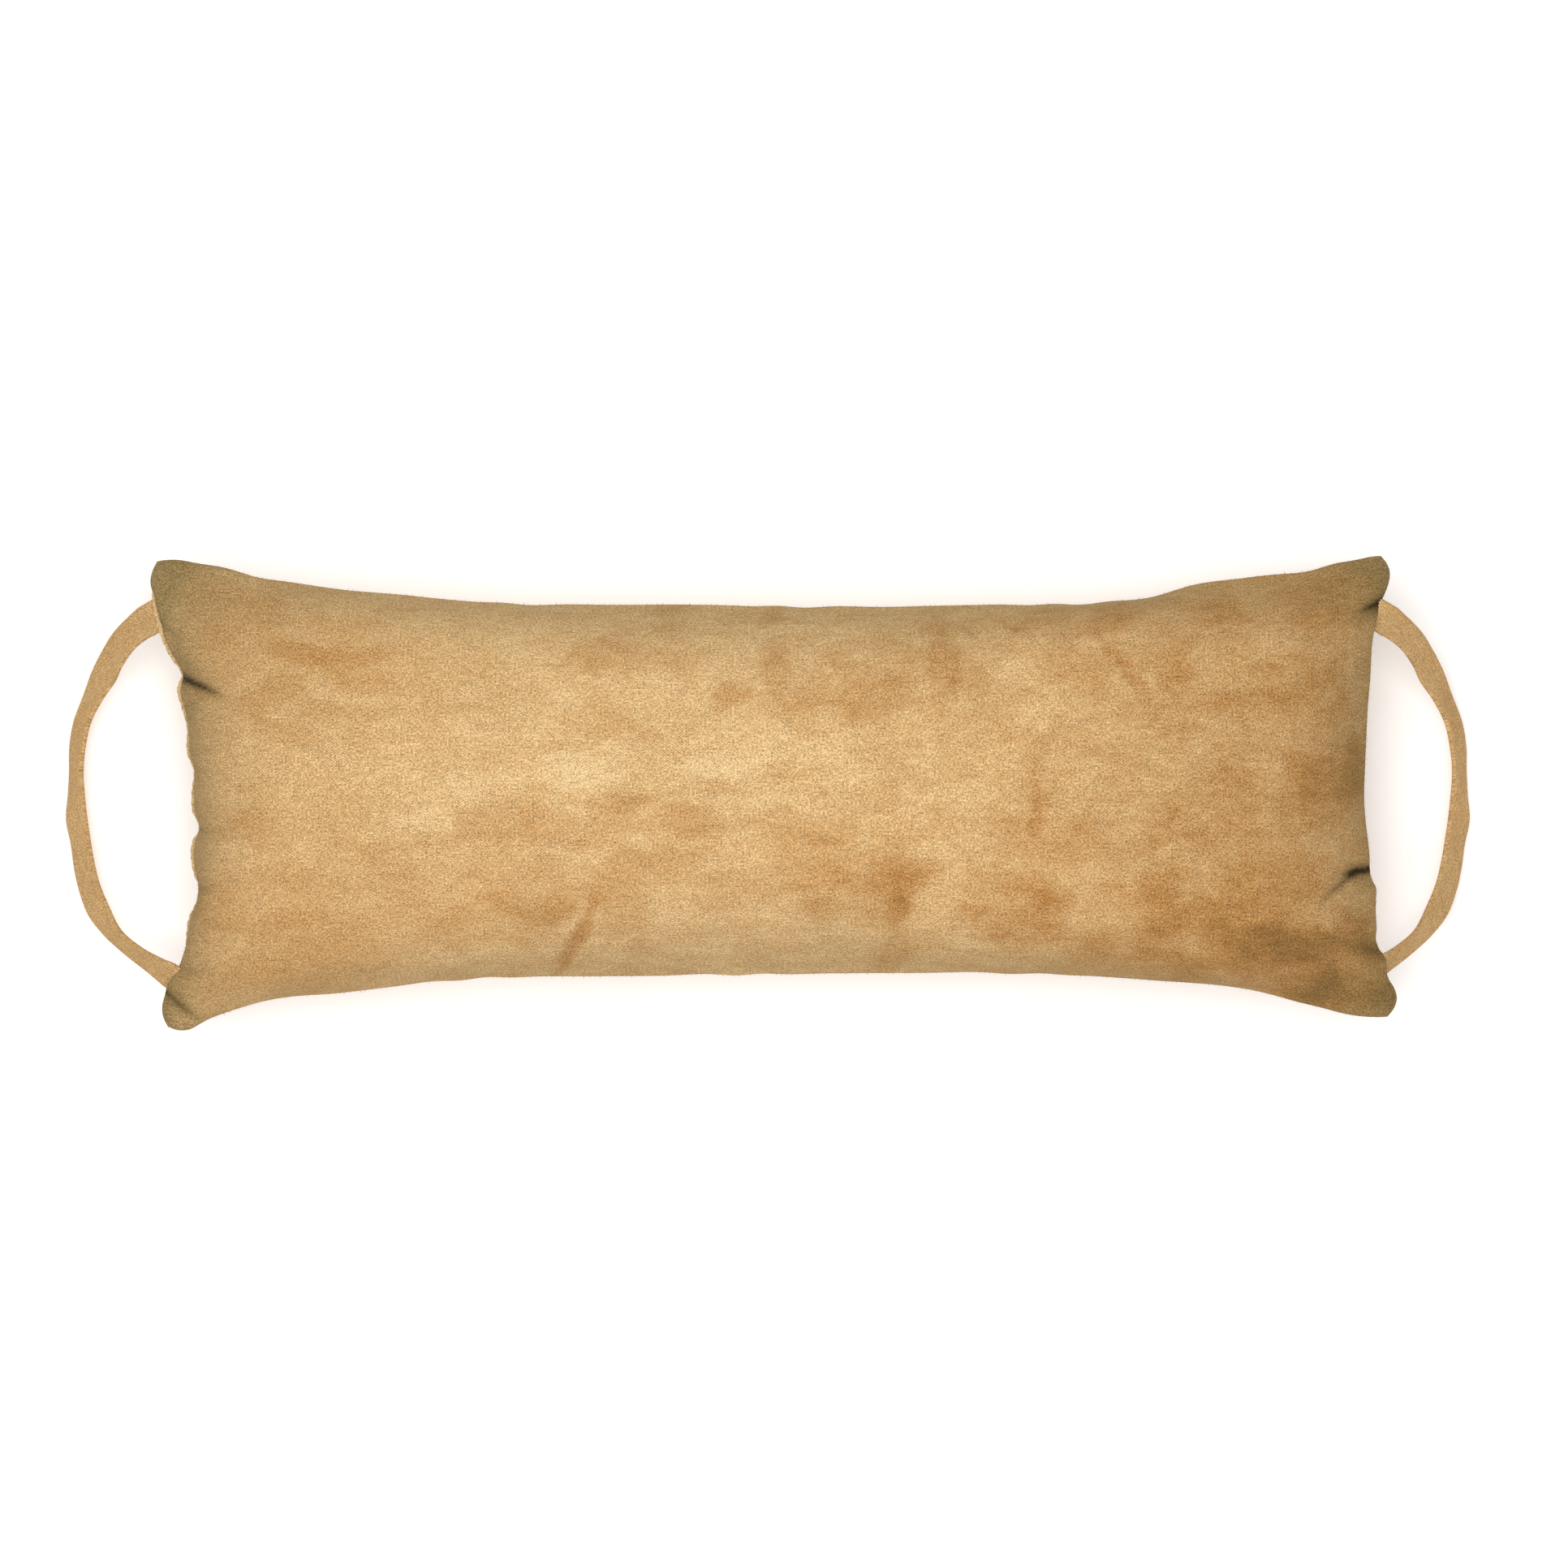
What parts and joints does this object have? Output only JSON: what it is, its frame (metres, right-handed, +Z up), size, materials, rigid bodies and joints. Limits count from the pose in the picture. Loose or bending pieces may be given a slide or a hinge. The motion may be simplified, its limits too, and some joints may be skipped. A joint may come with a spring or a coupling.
{
  "type": "bolster pillow",
  "caption": "Lumbar bolster pillow with a sewn microsuede cover, a fibre-filled inner bag and a fabric strap handle at each end.",
  "frame": {"origin": "on the resting surface, under the middle of the pillow", "axes": "+X along the pillow's length, towards the end whose seam was not sewn last; +Y across it; +Z up through the top panel"},
  "size_m": [0.5198, 0.173, 0.092],
  "materials": {
    "cover_suede": "napped tan microsuede with a fine herringbone weave",
    "strap_suede": "folded tan microsuede strap",
    "seam_thread": "spun polyester sewing thread",
    "liner_cloth": "plain white bag cloth",
    "polyester_fibre": "white polyester fibre fill"
  },
  "bodies": {
    "cushion": {"cover_top_panel": "cover_suede", "cover_bottom_panel": "cover_suede", "front_seam_thread": "seam_thread", "rear_seam_thread": "seam_thread", "right_end_seam_thread": "seam_thread", "left_closing_seam_thread": "seam_thread", "liner_top_panel": "liner_cloth", "liner_bottom_panel": "liner_cloth", "liner_seam_thread": "seam_thread", "fibre_fill": "polyester_fibre", "left_front_strap_tail": "strap_suede", "left_rear_strap_tail": "strap_suede", "right_front_strap_tail": "strap_suede", "right_rear_strap_tail": "strap_suede", "left_front_bar_tack": "seam_thread", "left_rear_bar_tack": "seam_thread", "right_front_bar_tack": "seam_thread", "right_rear_bar_tack": "seam_thread"},
    "left_handle": {"left_strap": "strap_suede"},
    "right_handle": {"right_strap": "strap_suede"}
  },
  "joints": [
    {"name": "left_handle_swing", "type": "hinge", "parent": "cushion", "child": "left_handle", "pos_m": [-0.2265, 0, 0.043], "axis": [0, 1, 0], "range_deg": [0, 170]},
    {"name": "right_handle_swing", "type": "hinge", "parent": "cushion", "child": "right_handle", "pos_m": [0.2265, 0, 0.043], "axis": [0, -1, 0], "range_deg": [0, 170]}
  ]
}
